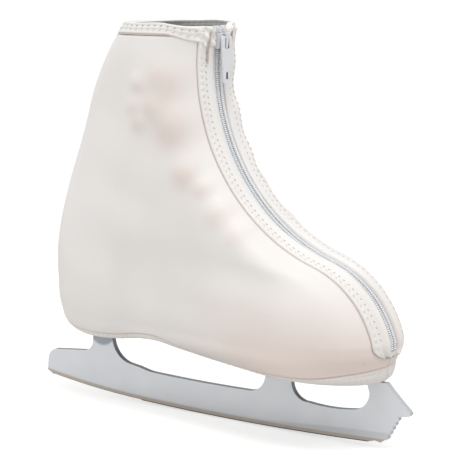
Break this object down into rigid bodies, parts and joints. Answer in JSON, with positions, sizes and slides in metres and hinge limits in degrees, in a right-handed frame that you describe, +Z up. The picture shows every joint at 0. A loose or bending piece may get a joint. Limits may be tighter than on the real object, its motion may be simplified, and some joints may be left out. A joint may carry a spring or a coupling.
{
  "type": "ice skate with zipped boot cover",
  "caption": "Figure skate: steel blade with toe pick on two mounting plates, heeled leather boot and a front-zipped stretch cover that hides the boot.",
  "frame": {"origin": "on the ice under the middle of the blade's length, at the lowest point of the rocker, midway between the two sides of the boot", "axes": "+X to the toe pick, +Y to the wearer's left (the inner side of this right skate), +Z up"},
  "size_m": [0.284, 0.0891, 0.255],
  "materials": {
    "blade_chrome": "satin chrome over steel, ground bare along the edge",
    "screw_steel": "bright zinc",
    "sole_leather": "sealed and painted white",
    "board": "pressed fibre board",
    "boot_leather": "white full-grain leather",
    "lining_fabric": "brushed knit over foam",
    "cover_fabric": "off-white stretch knit bonded to neoprene",
    "zip_tape": "woven polyester tape",
    "zip_coil": "nylon monofilament",
    "zip_stop": "moulded white nylon",
    "slider_paint": "white enamel on die-cast zinc"
  },
  "bodies": {
    "skate": {"blade_runner": "blade_chrome", "sole_plate": "blade_chrome", "heel_plate": "blade_chrome", "sole_plate_screws": "screw_steel", "heel_plate_screws": "screw_steel", "outsole": "sole_leather", "heel_block": "sole_leather", "shank": "screw_steel", "insole_board": "board", "footbed": "lining_fabric", "vamp": "boot_leather", "eyelets": "screw_steel", "lace_hooks": "screw_steel", "quarter_outer": "boot_leather", "quarter_inner": "boot_leather", "tongue": "boot_leather", "collar_padding": "lining_fabric", "cover_panel_outer": "cover_fabric", "cover_panel_inner": "cover_fabric", "top_hem_outer": "cover_fabric", "top_hem_inner": "cover_fabric", "bottom_hem_outer": "cover_fabric", "bottom_hem_inner": "cover_fabric", "zip_facing_outer": "cover_fabric", "zip_facing_inner": "cover_fabric", "zip_tape_outer": "zip_tape", "zip_tape_inner": "zip_tape", "zip_coil_outer": "zip_coil", "zip_coil_inner": "zip_coil", "zip_top_stops": "zip_stop", "zip_bottom_stop": "zip_stop"},
    "slider": {"zip_slider": "slider_paint"},
    "pull": {"zip_pull": "slider_paint"}
  },
  "joints": [
    {"name": "slider_travel", "type": "hinge", "parent": "skate", "child": "slider", "pos_m": [0.124, 0, 0.227], "axis": [0, -1, 0], "range_deg": [0, 74.8]},
    {"name": "pull_flip", "type": "hinge", "parent": "slider", "child": "pull", "pos_m": [0.00703, 0, 0.24554], "axis": [0, -1, 0], "range_deg": [0, 160]}
  ]
}
